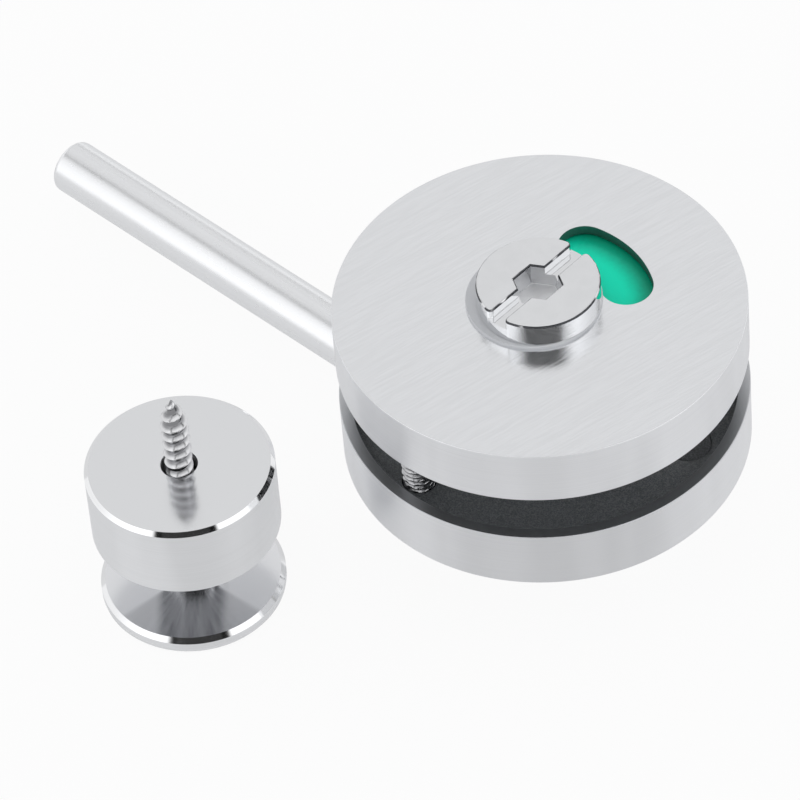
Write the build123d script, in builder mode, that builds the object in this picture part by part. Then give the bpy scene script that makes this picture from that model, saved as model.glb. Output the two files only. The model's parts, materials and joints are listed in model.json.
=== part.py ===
from build123d import *
from math import asin, cos, degrees, radians, sin
import os

# Indicator bolt for a cubicle door: an outside rosette with a coin release and a coloured
# dial, an inside rosette with a turn hub and its rod, and the keep that stands beside them.
# Lengths are in millimetres. Z is the turning axis, pointing to the outside of the door,
# and Z = 0 is the door's inner face. Angles are in degrees, seen from above, from +X.

# Rosettes and the door between them
door_gap = 8.0
outer_cover_height = 9.1
inner_cover_height = 9.8
cover_wall = 1.8
outer_plate = 1.6
inner_plate = 1.8
carrier_recess = 2.6
cover_edge_break = 0.25
rim_edge_break = 0.15
carrier_edge_break = 0.3

# Clearances
running_fit = 0.05
slip_fit = 0.1
press_gap = 0.02
end_float = 0.05
air_gap = 0.3
cut_overrun = 1.0

# Indicator window and dial
window_mid_radius = 12.9
window_width = 7.8
window_start_angle = 8.2
window_end_angle = 55.1
window_edge_break = 0.15
field_overlap = 0.4
field_thickness = 0.2
dial_thickness = 0.8
dial_play = 0.5
notch_margin = 0.2
stop_pin_diameter = 2.4
stop_pin_seat = 2.0
turn_angle = 90.0

# Release turn
head_diameter = 18.0
head_height = 3.8
head_edge_break = 0.3
coin_slot_width = 2.5
coin_slot_depth = 1.6
slot_mouth_radius = 0.7
hex_socket_flats = 6.15
hex_socket_depth = 3.7
socket_web = 2.0
release_stem_diameter = 12.0
release_stem_flats = 10.8
release_washer_diameter = 19.8
release_washer_thickness = 0.5
release_washer_offset = 1.0
release_washer_side = 135.0

# Spindle, bushes and retaining rings
spindle_width = 6.0
spindle_edge_break = 0.4
bush_wall = 2.0
ring_thickness = 1.0
ring_band = 2.0
ring_groove_depth = 0.7
ring_lug_radius = 1.5
ring_lug_hole = 1.4
ring_lug_angle = 24.0
stem_lip = 0.6

# Turn hub and rod
hub_diameter = 24.0
hub_length = 16.8
hub_edge_break = 0.8
hub_stem_diameter = 14.0
hub_web = 1.0
turn_washer_band = 4.7
turn_washer_thickness = 0.5
spring_thickness = 0.4
spring_height = 0.7
spring_diameter = 21.0
rod_diameter = 8.5
rod_drop = 9.1
rod_reach = 100.5
rod_spigot_diameter = 7.5
rod_spigot_seat = 7.5
spot_face_diameter = 11.0
rod_end_round = 0.8
rod_angle = 133.4
rod_grub_diameter = 5.0
rod_grub_key = 2.5
rod_grub_key_depth = 1.2

# Clamp screws, plugs and cover screws
clamp_thread_diameter = 5.0
clamp_head_diameter = 7.0
clamp_head_height = 2.75
clamp_head_recess = 3.2
clamp_head_break = 0.5
clamp_key = 3.0
clamp_key_depth = 1.5
clamp_end_gap = 0.5
clamp_angle = 36.5
boss_wall = 1.6
carrier_rim = 4.0
plug_diameter = 6.9
plug_angle = 31.0
plug_set_in = 1.1
plug_depth = 3.0
plug_edge_break = 0.2
cover_screw_diameter = 3.0
cover_screw_length = 5.0
cover_screw_key = 1.5
cover_screw_key_depth = 1.2
cover_screw_angle = 90.0

# Keep
keep_diameter = 27.8
keep_cylinder_length = 12.4
keep_groove_length = 11.2
keep_flange_thickness = 3.0
keep_flange_diameter = 27.4
keep_neck_diameter = 9.8
keep_top_break = 0.6
keep_flange_break = 0.7
keep_flange_round = 1.2
keep_hole_diameter = 5.4
keep_counterbore_diameter = 9.2
keep_counterbore_depth = 4.0
keep_screw_diameter = 4.2
keep_shank_diameter = 3.6
keep_screw_reach = 13.5
keep_screw_point = 4.5
keep_screw_tip = 0.3
keep_head_diameter = 8.4
keep_head_height = 2.6
keep_head_break = 0.6
keep_cross_length = 5.0
keep_cross_width = 1.0
keep_cross_depth = 1.3
keep_distance = 54.6
keep_angle = -170.2

# Levels that follow from the sizes
outer_rim_level = door_gap
outer_top_level = outer_rim_level + outer_cover_height
outer_under_level = outer_top_level - outer_plate
outer_carrier_low = outer_rim_level + carrier_recess
inner_face_level = -inner_cover_height
inner_seat_level = inner_face_level + inner_plate
inner_carrier_high = -carrier_recess
floor_level = inner_face_level - hub_length

release_washer_high = outer_top_level + release_washer_thickness
head_base_level = release_washer_high + end_float
head_top_level = head_base_level + head_height
hex_floor_level = head_top_level - hex_socket_depth
field_top_level = outer_under_level - air_gap
dial_top_level = field_top_level - field_thickness
dial_low_level = dial_top_level - dial_thickness
pocket_floor_level = dial_low_level - air_gap

release_ring_high = outer_carrier_low - end_float
release_ring_low = release_ring_high - ring_thickness
release_stem_end = release_ring_low - running_fit - stem_lip
spring_top_level = inner_carrier_high + spring_height
turn_ring_low = spring_top_level + end_float
turn_ring_high = turn_ring_low + ring_thickness
hub_stem_end = turn_ring_high + running_fit + stem_lip
hub_shoulder_level = inner_face_level - turn_washer_thickness - end_float
rod_level = inner_face_level - rod_drop
hub_socket_floor = rod_level + rod_spigot_diameter / 2 + hub_web
release_socket_top = hex_floor_level - socket_web

# Radii and angles that follow from the sizes, from the axis outwards: the window and the
# dial set the screws' circle, and that sets the rosettes' diameter of 60
release_stem_radius = release_stem_diameter / 2
release_bush_radius = release_stem_radius + running_fit + bush_wall
hub_stem_radius = hub_stem_diameter / 2
hub_bush_radius = hub_stem_radius + running_fit + bush_wall
release_groove_radius = release_stem_radius - ring_groove_depth
hub_groove_radius = hub_stem_radius - ring_groove_depth
window_inner_radius = window_mid_radius - window_width / 2
window_outer_radius = window_mid_radius + window_width / 2
field_inner_radius = window_inner_radius - field_overlap
field_outer_radius = window_outer_radius + field_overlap
notch_radius = field_outer_radius + notch_margin
stop_pin_radius = stop_pin_diameter / 2
stop_circle_radius = notch_radius + slip_fit + stop_pin_radius
pocket_radius = stop_circle_radius + stop_pin_radius + slip_fit
dial_radius = pocket_radius - dial_play
clamp_thread_radius = clamp_thread_diameter / 2
boss_circle_radius = pocket_radius + boss_wall + clamp_thread_radius
plug_circle_radius = boss_circle_radius - plug_set_in
carrier_radius = boss_circle_radius + carrier_rim
shell_radius = carrier_radius + slip_fit
rosette_radius = shell_radius + cover_wall
square_hole_width = spindle_width + 2 * running_fit
rod_radius = rod_diameter / 2
rod_spigot_radius = rod_spigot_diameter / 2

window_middle_angle = (window_start_angle + window_end_angle) / 2
green_start_angle = window_middle_angle - turn_angle / 2
red_start_angle = green_start_angle + turn_angle
stop_pin_angle = window_middle_angle + 180
notch_slack_angle = degrees(asin((stop_pin_radius + slip_fit) / stop_circle_radius))
slot_angle = rod_angle - 90


def polar_point(radius, angle):
    """Point at a radius and an angle from +X."""
    return (radius * cos(radians(angle)), radius * sin(radians(angle)))


clamp_places = [polar_point(boss_circle_radius, clamp_angle + turn) for turn in (0, 180)]
plug_places = [polar_point(plug_circle_radius, turn - plug_angle) for turn in (0, 180)]
stop_pin_place = polar_point(stop_circle_radius, stop_pin_angle)
keep_place = polar_point(keep_distance, keep_angle)


def sector(inner_radius, outer_radius, start_angle, size_angle):
    """Outline of a ring sector, for the sketch that calls it."""
    end_angle = start_angle + size_angle
    with BuildLine() as outline:
        CenterArc((0, 0), outer_radius, start_angle, size_angle)
        CenterArc((0, 0), inner_radius, start_angle, size_angle)
        Line(polar_point(inner_radius, start_angle), polar_point(outer_radius, start_angle))
        Line(polar_point(inner_radius, end_angle), polar_point(outer_radius, end_angle))
    return outline.line


def outer_rim(piece, level):
    """Largest circular edge of a turned piece at one level."""
    rims = piece.edges().filter_by(GeomType.CIRCLE)
    return rims.group_by(lambda rim: abs(rim.arc_center.Z - level))[0].sort_by(SortBy.RADIUS)[-1]


def export_piece(piece, name):
    """Label one finished piece and write its STEP file."""
    piece.label = name
    export_step(piece, f"parts/{name}.step")


os.makedirs("parts", exist_ok=True)

# Outer cover: a turned shell with the stem hole and the kidney window
cover_bore_radius = release_stem_radius + air_gap
outer_cover_profile = [
    (cover_bore_radius, outer_top_level),
    (rosette_radius, outer_top_level),
    (rosette_radius, outer_rim_level),
    (shell_radius, outer_rim_level),
    (shell_radius, outer_under_level),
    (cover_bore_radius, outer_under_level),
]
window_size_angle = window_end_angle - window_start_angle
cover_screw_radius = cover_screw_diameter / 2
outer_screw_level = (outer_carrier_low + outer_under_level) / 2
outer_screw_plane = Plane(
    origin=(*polar_point(rosette_radius, cover_screw_angle), outer_screw_level),
    z_dir=(*polar_point(1, cover_screw_angle), 0),
)
with BuildPart() as outer_cover:
    with BuildSketch(Plane.XZ):
        with BuildLine():
            Polyline(*outer_cover_profile, close=True)
        make_face()
    revolve(axis=Axis.Z)
    chamfer(outer_rim(outer_cover, outer_top_level), cover_edge_break)
    chamfer(outer_rim(outer_cover, outer_rim_level), rim_edge_break)
    with BuildSketch(Plane.XY.offset(outer_under_level)):
        SlotArc(
            CenterArc((0, 0), window_mid_radius, window_start_angle, window_size_angle,
                      mode=Mode.PRIVATE),
            height=window_width,
        )
    extrude(amount=outer_plate, mode=Mode.SUBTRACT)
    top_face = outer_cover.faces().filter_by(Axis.Z).sort_by(Axis.Z)[-1]
    chamfer([edge for wire in top_face.inner_wires() for edge in wire.edges()],
            window_edge_break)
    with BuildSketch(outer_screw_plane):
        Circle(cover_screw_radius + press_gap)
    extrude(amount=-(cover_wall + cut_overrun), mode=Mode.SUBTRACT)
export_piece(outer_cover.part, "outer_cover")

# Outer carrier: a cast disc with the dial's pocket, the bush bore and two tapped holes
with BuildPart() as outer_carrier:
    with BuildSketch(Plane.XY.offset(outer_carrier_low)):
        Circle(carrier_radius)
    extrude(amount=outer_under_level - outer_carrier_low)
    chamfer(outer_rim(outer_carrier, outer_carrier_low), carrier_edge_break)
    with BuildSketch(Plane.XY.offset(pocket_floor_level)):
        Circle(pocket_radius)
    extrude(amount=outer_under_level - pocket_floor_level, mode=Mode.SUBTRACT)
    with BuildSketch(Plane.XY.offset(outer_carrier_low)):
        Circle(release_bush_radius + press_gap)
        with Locations(*clamp_places):
            Circle(clamp_thread_radius + press_gap)
    extrude(amount=outer_under_level - outer_carrier_low, mode=Mode.SUBTRACT)
    with BuildSketch(Plane.XY.offset(pocket_floor_level)):
        with Locations(stop_pin_place):
            Circle(stop_pin_radius + press_gap)
    extrude(amount=-stop_pin_seat, mode=Mode.SUBTRACT)
    with BuildSketch(outer_screw_plane):
        Circle(cover_screw_radius + press_gap)
    extrude(amount=-(cover_screw_length + air_gap), mode=Mode.SUBTRACT)
export_piece(outer_carrier.part, "outer_carrier")

# Outer bush: plain bearing of the release stem
with BuildPart() as outer_bush:
    with BuildSketch(Plane.XY.offset(outer_carrier_low)):
        Circle(release_bush_radius)
        Circle(release_stem_radius + running_fit, mode=Mode.SUBTRACT)
    extrude(amount=pocket_floor_level - outer_carrier_low)
export_piece(outer_bush.part, "outer_bush")

# Stop pin: pressed into the pocket's floor, in the way of the dial's notch ends
with BuildPart() as stop_pin:
    with BuildSketch(Plane.XY.offset(pocket_floor_level - stop_pin_seat)):
        with Locations(stop_pin_place):
            Circle(stop_pin_radius)
    extrude(amount=stop_pin_seat + dial_top_level - pocket_floor_level)
export_piece(stop_pin.part, "stop_pin")

# Indicator dial: a disc keyed on the stem's flats, with a notch that ends the quarter turn
with BuildPart() as indicator_dial:
    with BuildSketch(Plane.XY.offset(dial_low_level)):
        Circle(dial_radius)
        make_face(
            sector(notch_radius, dial_radius + cut_overrun, stop_pin_angle - notch_slack_angle,
                   turn_angle + 2 * notch_slack_angle).edges(),
            mode=Mode.SUBTRACT,
        )
        with BuildSketch(mode=Mode.SUBTRACT):
            Circle(release_stem_radius + running_fit)
            Rectangle(
                release_stem_diameter + 2 * cut_overrun,
                release_stem_flats + 2 * running_fit,
                rotation=slot_angle,
                mode=Mode.INTERSECT,
            )
    extrude(amount=dial_thickness)
export_piece(indicator_dial.part, "indicator_dial")

# Green field: the dial's quarter that shows while the door is free
with BuildPart() as green_field:
    with BuildSketch(Plane.XY.offset(dial_top_level)):
        make_face(sector(field_inner_radius, field_outer_radius, green_start_angle,
                         turn_angle).edges())
    extrude(amount=field_thickness)
export_piece(green_field.part, "green_field")

# Red field: the quarter that turns under the window when the rod is in its keep
with BuildPart() as red_field:
    with BuildSketch(Plane.XY.offset(dial_top_level)):
        make_face(sector(field_inner_radius, field_outer_radius, red_start_angle,
                         turn_angle).edges())
    extrude(amount=field_thickness)
export_piece(red_field.part, "red_field")

# Release turn: a head with a coin slot across a hexagonal socket, on a stem with two flats
with BuildPart() as release_turn:
    with BuildSketch(Plane.XY.offset(head_base_level)):
        Circle(head_diameter / 2)
    extrude(amount=head_height)
    chamfer(outer_rim(release_turn, head_top_level), head_edge_break)
    with BuildSketch(Plane.XY.offset(head_top_level)):
        Rectangle(head_diameter + cut_overrun, coin_slot_width, rotation=slot_angle)
    extrude(amount=-coin_slot_depth, mode=Mode.SUBTRACT)
    mouth_edges = release_turn.edges().filter_by(Axis.Z).group_by(SortBy.LENGTH)[0]
    fillet(mouth_edges, slot_mouth_radius)
    with BuildSketch(Plane.XY.offset(head_top_level)):
        RegularPolygon(hex_socket_flats / 2, 6, major_radius=False, rotation=slot_angle)
    extrude(amount=-hex_socket_depth, mode=Mode.SUBTRACT)
    with BuildSketch(Plane.XY.offset(release_stem_end)):
        Circle(release_stem_radius)
    extrude(amount=head_base_level - release_stem_end)
    for side in (1, -1):
        flat_plane = Plane(
            origin=(*polar_point(side * release_stem_flats / 2, slot_angle + 90),
                    release_stem_end),
            x_dir=(*polar_point(1, slot_angle), 0),
            z_dir=(0, 0, 1),
        )
        with BuildSketch(flat_plane):
            Rectangle(
                release_stem_diameter,
                release_stem_diameter,
                align=(Align.CENTER, Align.MIN if side > 0 else Align.MAX),
            )
        extrude(amount=field_top_level - release_stem_end, mode=Mode.SUBTRACT)
    with BuildSketch(Plane.XY.offset(release_ring_low - running_fit)):
        Circle(release_stem_radius + cut_overrun)
        Circle(release_groove_radius, mode=Mode.SUBTRACT)
    extrude(amount=ring_thickness + 2 * running_fit, mode=Mode.SUBTRACT)
    with BuildSketch(Plane.XY.offset(release_stem_end)):
        Rectangle(square_hole_width, square_hole_width, rotation=slot_angle)
    extrude(amount=release_socket_top - release_stem_end, mode=Mode.SUBTRACT)
export_piece(release_turn.part, "release_turn")

# Release washer: a thin washer between head and cover, resting to one side of its play
with BuildPart() as release_washer:
    with BuildSketch(Plane.XY.offset(outer_top_level)):
        with Locations(polar_point(release_washer_offset, release_washer_side)):
            Circle(release_washer_diameter / 2)
            Circle(release_stem_radius + release_washer_offset + slip_fit, mode=Mode.SUBTRACT)
    extrude(amount=release_washer_thickness)
export_piece(release_washer.part, "release_washer")


def retaining_ring(groove_radius, low_level):
    """Open retaining ring with two pierced lugs, its opening towards +X."""
    inside_radius = groove_radius + press_gap
    lug_centre_radius = inside_radius + ring_lug_radius
    lug_places = [polar_point(lug_centre_radius, side * ring_lug_angle) for side in (1, -1)]
    with BuildPart() as ring:
        with BuildSketch(Plane.XY.offset(low_level)):
            Circle(inside_radius + ring_band)
            make_face(
                sector(inside_radius - ring_groove_depth, inside_radius + ring_band + cut_overrun,
                       -ring_lug_angle, 2 * ring_lug_angle).edges(),
                mode=Mode.SUBTRACT,
            )
            with Locations(*lug_places):
                Circle(ring_lug_radius)
            Circle(inside_radius, mode=Mode.SUBTRACT)
            with Locations(*lug_places):
                Circle(ring_lug_hole / 2, mode=Mode.SUBTRACT)
        extrude(amount=ring_thickness)
    return ring.part


# Release ring: holds the release stem in the outer carrier
release_ring = retaining_ring(release_groove_radius, release_ring_low)
export_piece(release_ring, "release_ring")

# Spindle: square bar from the release stem to the turn hub, through the door
spindle_low = hub_socket_floor + air_gap
spindle_high = release_socket_top - air_gap
with BuildPart() as spindle:
    with BuildSketch(Plane.XY.offset(spindle_low)):
        Rectangle(spindle_width, spindle_width, rotation=slot_angle)
    extrude(amount=spindle_high - spindle_low)
    chamfer(spindle.edges().filter_by(Axis.Z), spindle_edge_break)
export_piece(spindle.part, "spindle")

# Inner cover: the inside shell, with the hub's hole in its plate
inner_bore_radius = hub_stem_radius + air_gap
inner_cover_profile = [
    (inner_bore_radius, inner_face_level),
    (rosette_radius, inner_face_level),
    (rosette_radius, 0),
    (shell_radius, 0),
    (shell_radius, inner_seat_level),
    (inner_bore_radius, inner_seat_level),
]
inner_screw_level = (inner_carrier_high + inner_seat_level) / 2
inner_screw_plane = Plane(
    origin=(*polar_point(rosette_radius, cover_screw_angle), inner_screw_level),
    z_dir=(*polar_point(1, cover_screw_angle), 0),
)
with BuildPart() as inner_cover:
    with BuildSketch(Plane.XZ):
        with BuildLine():
            Polyline(*inner_cover_profile, close=True)
        make_face()
    revolve(axis=Axis.Z)
    chamfer(outer_rim(inner_cover, inner_face_level), cover_edge_break)
    chamfer(outer_rim(inner_cover, 0), rim_edge_break)
    with BuildSketch(inner_screw_plane):
        Circle(cover_screw_radius + press_gap)
    extrude(amount=-(cover_wall + cut_overrun), mode=Mode.SUBTRACT)
export_piece(inner_cover.part, "inner_cover")

# Inner carrier: a cast disc with the clamp screws' seats and the two plugged holes
inner_carrier_height = inner_carrier_high - inner_seat_level
clamp_seat_level = inner_seat_level + clamp_head_recess
clamp_clearance_radius = clamp_thread_radius + slip_fit
with BuildPart() as inner_carrier:
    with BuildSketch(Plane.XY.offset(inner_seat_level)):
        Circle(carrier_radius)
    extrude(amount=inner_carrier_height)
    chamfer(outer_rim(inner_carrier, inner_carrier_high), carrier_edge_break)
    with BuildSketch(Plane.XY.offset(inner_seat_level)):
        Circle(hub_bush_radius + press_gap)
        with Locations(*clamp_places):
            Circle(clamp_clearance_radius)
    extrude(amount=inner_carrier_height, mode=Mode.SUBTRACT)
    with BuildSketch(Plane.XY.offset(inner_seat_level)):
        with Locations(*clamp_places):
            Circle(clamp_head_diameter / 2 + slip_fit)
    extrude(amount=clamp_head_recess, mode=Mode.SUBTRACT)
    with BuildSketch(Plane.XY.offset(inner_carrier_high)):
        with Locations(*plug_places):
            Circle(plug_diameter / 2 + slip_fit)
    extrude(amount=-plug_depth, mode=Mode.SUBTRACT)
    with BuildSketch(inner_screw_plane):
        Circle(cover_screw_radius + press_gap)
    extrude(amount=-(cover_screw_length + air_gap), mode=Mode.SUBTRACT)
export_piece(inner_carrier.part, "inner_carrier")

# Blanking plugs: close the two screw places that this door does not use
with BuildPart() as blanking_plugs:
    with BuildSketch(Plane.XY.offset(inner_carrier_high - plug_depth)):
        with Locations(*plug_places):
            Circle(plug_diameter / 2)
    extrude(amount=plug_depth)
    plug_rims = blanking_plugs.edges().filter_by(GeomType.CIRCLE).group_by(Axis.Z)[-1]
    chamfer(plug_rims, plug_edge_break)
export_piece(blanking_plugs.part, "blanking_plugs")

# Clamp screws: pull the rosettes together through the door, tapped into the outer carrier
clamp_head_low = clamp_seat_level - clamp_head_height
clamp_end_level = outer_under_level - clamp_end_gap
with BuildPart() as clamp_screws:
    with BuildSketch(Plane.XY.offset(clamp_head_low)):
        with Locations(*clamp_places):
            Circle(clamp_head_diameter / 2)
    extrude(amount=clamp_head_height)
    head_rims = clamp_screws.edges().filter_by(GeomType.CIRCLE).group_by(Axis.Z)[0]
    chamfer(head_rims, clamp_head_break)
    with BuildSketch(Plane.XY.offset(clamp_seat_level)):
        with Locations(*clamp_places):
            Circle(clamp_thread_radius)
    extrude(amount=clamp_end_level - clamp_seat_level)
    with BuildSketch(Plane.XY.offset(clamp_head_low)):
        with Locations(*clamp_places):
            RegularPolygon(clamp_key / 2, 6, major_radius=False)
    extrude(amount=clamp_key_depth, mode=Mode.SUBTRACT)
export_piece(clamp_screws.part, "clamp_screws")

# Cover screws: headless screws that hold each shell on its carrier, on the far side
with BuildPart() as cover_grub_screws:
    for plane in (outer_screw_plane, inner_screw_plane):
        with BuildSketch(plane.offset(-air_gap)):
            Circle(cover_screw_radius)
        extrude(amount=-cover_screw_length)
        with BuildSketch(plane.offset(-air_gap)):
            RegularPolygon(cover_screw_key / 2, 6, major_radius=False)
        extrude(amount=-cover_screw_key_depth, mode=Mode.SUBTRACT)
export_piece(cover_grub_screws.part, "cover_grub_screws")

# Inner bush: plain bearing of the hub's stem
with BuildPart() as inner_bush:
    with BuildSketch(Plane.XY.offset(inner_seat_level)):
        Circle(hub_bush_radius)
        Circle(hub_stem_radius + running_fit, mode=Mode.SUBTRACT)
    extrude(amount=inner_carrier_height)
export_piece(inner_bush.part, "inner_bush")

# Turn washer: slip washer between the inner cover and the hub's shoulder
with BuildPart() as turn_washer:
    with BuildSketch(Plane.XY.offset(inner_face_level)):
        Circle(inner_bore_radius + turn_washer_band)
        Circle(inner_bore_radius, mode=Mode.SUBTRACT)
    extrude(amount=-turn_washer_thickness)
export_piece(turn_washer.part, "turn_washer")

# Friction spring: a conical washer that keeps the turn where it is put
spring_bore_radius = hub_stem_radius + slip_fit
spring_profile = [
    (spring_diameter / 2, inner_carrier_high),
    (spring_diameter / 2, inner_carrier_high + spring_thickness),
    (spring_bore_radius, spring_top_level),
    (spring_bore_radius, spring_top_level - spring_thickness),
]
with BuildPart() as friction_spring:
    with BuildSketch(Plane.XZ):
        with BuildLine():
            Polyline(*spring_profile, close=True)
        make_face()
    revolve(axis=Axis.Z)
export_piece(friction_spring.part, "friction_spring")

# Turn hub: a drum that carries the rod, on a stem through the inner rosette. The rod's
# spigot goes in across the axis, and its shoulder meets a flat spot face.
hub_radius = hub_diameter / 2
spot_face_radius = spot_face_diameter / 2
spot_face_reach = (hub_radius**2 - spot_face_radius**2) ** 0.5
hub_profile = [
    (0, floor_level),
    (hub_radius, floor_level),
    (hub_radius, hub_shoulder_level),
    (hub_stem_radius, hub_shoulder_level),
    (hub_stem_radius, turn_ring_low - running_fit),
    (hub_groove_radius, turn_ring_low - running_fit),
    (hub_groove_radius, turn_ring_high + running_fit),
    (hub_stem_radius, turn_ring_high + running_fit),
    (hub_stem_radius, hub_stem_end),
    (0, hub_stem_end),
]
rod_plane = Plane(origin=(0, 0, rod_level), z_dir=(*polar_point(1, rod_angle), 0))
with BuildPart() as turn_hub:
    with BuildSketch(Plane.XZ):
        with BuildLine():
            Polyline(*hub_profile, close=True)
        make_face()
    revolve(axis=Axis.Z)
    chamfer(outer_rim(turn_hub, floor_level), hub_edge_break)
    chamfer(outer_rim(turn_hub, hub_shoulder_level), rim_edge_break)
    with BuildSketch(Plane.XY.offset(hub_stem_end)):
        Rectangle(square_hole_width, square_hole_width, rotation=slot_angle)
    extrude(amount=-(hub_stem_end - hub_socket_floor), mode=Mode.SUBTRACT)
    with BuildSketch(rod_plane.offset(-(rod_spigot_seat + air_gap))):
        Circle(rod_spigot_radius + running_fit)
    extrude(amount=rod_spigot_seat + air_gap + hub_radius, mode=Mode.SUBTRACT)
    with BuildSketch(rod_plane.offset(spot_face_reach)):
        Circle(spot_face_radius)
    extrude(amount=hub_radius + cut_overrun - spot_face_reach, mode=Mode.SUBTRACT)
    with BuildSketch(Plane.XY.offset(floor_level)):
        Circle(rod_grub_diameter / 2 + press_gap)
    extrude(amount=rod_level - floor_level, mode=Mode.SUBTRACT)
export_piece(turn_hub.part, "turn_hub")

# Turn ring: holds the hub's stem in the inner carrier
turn_ring = retaining_ring(hub_groove_radius, turn_ring_low)
export_piece(turn_ring, "turn_ring")

# Bolt rod: round rod on a spigot, reaching out to the keep
rod_shoulder_reach = spot_face_reach + slip_fit
with BuildPart() as bolt_rod:
    with BuildSketch(rod_plane.offset(-rod_spigot_seat)):
        Circle(rod_spigot_radius)
    extrude(amount=rod_spigot_seat + rod_shoulder_reach)
    with BuildSketch(rod_plane.offset(rod_shoulder_reach)):
        Circle(rod_radius)
    extrude(amount=rod_reach - rod_shoulder_reach)
    rod_axis = Axis(rod_plane.origin, rod_plane.z_dir)
    fillet(bolt_rod.edges().filter_by(GeomType.CIRCLE).sort_by(rod_axis)[-1], rod_end_round)
export_piece(bolt_rod.part, "bolt_rod")

# Rod screw: headless screw in the hub's end that holds the rod
rod_grub_low = floor_level + air_gap
rod_grub_high = rod_level - rod_spigot_radius - end_float
with BuildPart() as rod_grub_screw:
    with BuildSketch(Plane.XY.offset(rod_grub_low)):
        Circle(rod_grub_diameter / 2)
    extrude(amount=rod_grub_high - rod_grub_low)
    with BuildSketch(Plane.XY.offset(rod_grub_low)):
        RegularPolygon(rod_grub_key / 2, 6, major_radius=False)
    extrude(amount=rod_grub_key_depth, mode=Mode.SUBTRACT)
export_piece(rod_grub_screw.part, "rod_grub_screw")

# Keep bobbin: a cylinder against the frame, a neck that the rod hooks behind, a flange
keep_radius = keep_diameter / 2
keep_flange_radius = keep_flange_diameter / 2
keep_neck_radius = keep_neck_diameter / 2
keep_hole_radius = keep_hole_diameter / 2
keep_counterbore_radius = keep_counterbore_diameter / 2
keep_flange_top = floor_level + keep_flange_thickness
keep_groove_top = keep_flange_top + keep_groove_length
keep_top_level = keep_groove_top + keep_cylinder_length
keep_seat_level = floor_level + keep_counterbore_depth
keep_profile = [
    (keep_counterbore_radius, floor_level),
    (keep_flange_radius, floor_level),
    (keep_flange_radius, keep_flange_top),
    (keep_neck_radius, keep_flange_top),
    (keep_neck_radius, keep_groove_top),
    (keep_radius, keep_groove_top),
    (keep_radius, keep_top_level),
    (keep_hole_radius, keep_top_level),
    (keep_hole_radius, keep_seat_level),
    (keep_counterbore_radius, keep_seat_level),
]
keep_plane = Plane(origin=(*keep_place, 0), x_dir=(1, 0, 0), z_dir=(0, -1, 0))
keep_axis = Axis((*keep_place, 0), (0, 0, 1))
with BuildPart() as keep_bobbin:
    with BuildSketch(keep_plane):
        with BuildLine():
            Polyline(*keep_profile, close=True)
        make_face()
    revolve(axis=keep_axis)
    chamfer(outer_rim(keep_bobbin, keep_top_level), keep_top_break)
    chamfer(outer_rim(keep_bobbin, keep_groove_top), cover_edge_break)
    chamfer(outer_rim(keep_bobbin, keep_flange_top), keep_flange_break)
    fillet(outer_rim(keep_bobbin, floor_level), keep_flange_round)
export_piece(keep_bobbin.part, "keep_bobbin")

# Keep screw: wood screw from under the flange, its threaded end out of the cylinder's face
keep_screw_radius = keep_screw_diameter / 2
keep_shank_radius = keep_shank_diameter / 2
keep_head_radius = keep_head_diameter / 2
keep_head_low = keep_seat_level - keep_head_height
keep_screw_end = keep_top_level + keep_screw_reach
keep_screw_profile = [
    (0, keep_head_low),
    (keep_head_radius, keep_head_low),
    (keep_head_radius, keep_seat_level),
    (keep_shank_radius, keep_seat_level),
    (keep_shank_radius, keep_top_level),
    (keep_screw_radius, keep_top_level),
    (keep_screw_radius, keep_screw_end - keep_screw_point),
    (keep_screw_tip, keep_screw_end),
    (0, keep_screw_end),
]
with BuildPart() as keep_screw:
    with BuildSketch(keep_plane):
        with BuildLine():
            Polyline(*keep_screw_profile, close=True)
        make_face()
    revolve(axis=keep_axis)
    chamfer(outer_rim(keep_screw, keep_head_low), keep_head_break)
    with BuildSketch(Plane.XY.offset(keep_head_low)):
        with Locations(keep_place):
            Rectangle(keep_cross_length, keep_cross_width)
            Rectangle(keep_cross_width, keep_cross_length)
    extrude(amount=keep_cross_depth, mode=Mode.SUBTRACT)
export_piece(keep_screw.part, "keep_screw")
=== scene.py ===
# %% [markdown]
# # Dressing a toilet indicator bolt
# The lock has two round aluminium rosettes with a door-thick gap between them, a chromed release and
# a green dial outside, a round rod inside, and a turned keep beside them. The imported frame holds
# every solid. This script gives each its finish, and builds finer meshes where edges, threads or a
# chromed slot need them.

# %% Frame, bodies and units
import bmesh
import bpy
import json
from math import atan2, cos, pi, radians, sin, tau
from mathutils import Matrix, Vector


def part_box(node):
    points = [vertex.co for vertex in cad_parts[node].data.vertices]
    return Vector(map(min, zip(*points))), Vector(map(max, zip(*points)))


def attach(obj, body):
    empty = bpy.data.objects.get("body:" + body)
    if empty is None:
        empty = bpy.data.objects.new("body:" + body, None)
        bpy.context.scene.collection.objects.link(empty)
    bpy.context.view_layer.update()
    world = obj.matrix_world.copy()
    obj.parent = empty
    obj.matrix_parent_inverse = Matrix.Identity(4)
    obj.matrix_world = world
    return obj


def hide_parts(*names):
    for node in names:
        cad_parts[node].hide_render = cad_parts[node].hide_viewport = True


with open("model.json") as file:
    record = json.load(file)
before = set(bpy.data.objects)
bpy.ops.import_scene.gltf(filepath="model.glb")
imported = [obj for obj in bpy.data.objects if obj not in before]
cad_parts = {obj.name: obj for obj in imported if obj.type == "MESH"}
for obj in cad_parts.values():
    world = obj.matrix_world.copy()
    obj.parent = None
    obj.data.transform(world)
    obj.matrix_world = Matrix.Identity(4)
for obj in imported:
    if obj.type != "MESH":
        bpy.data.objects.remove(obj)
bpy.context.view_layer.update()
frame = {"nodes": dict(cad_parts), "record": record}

MM = 0.001
FIXED, TURNING = "fixed_parts", "turning_parts"
mounts = {mount["name"]: mount for mount in frame["record"]["mounts"]}

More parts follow.
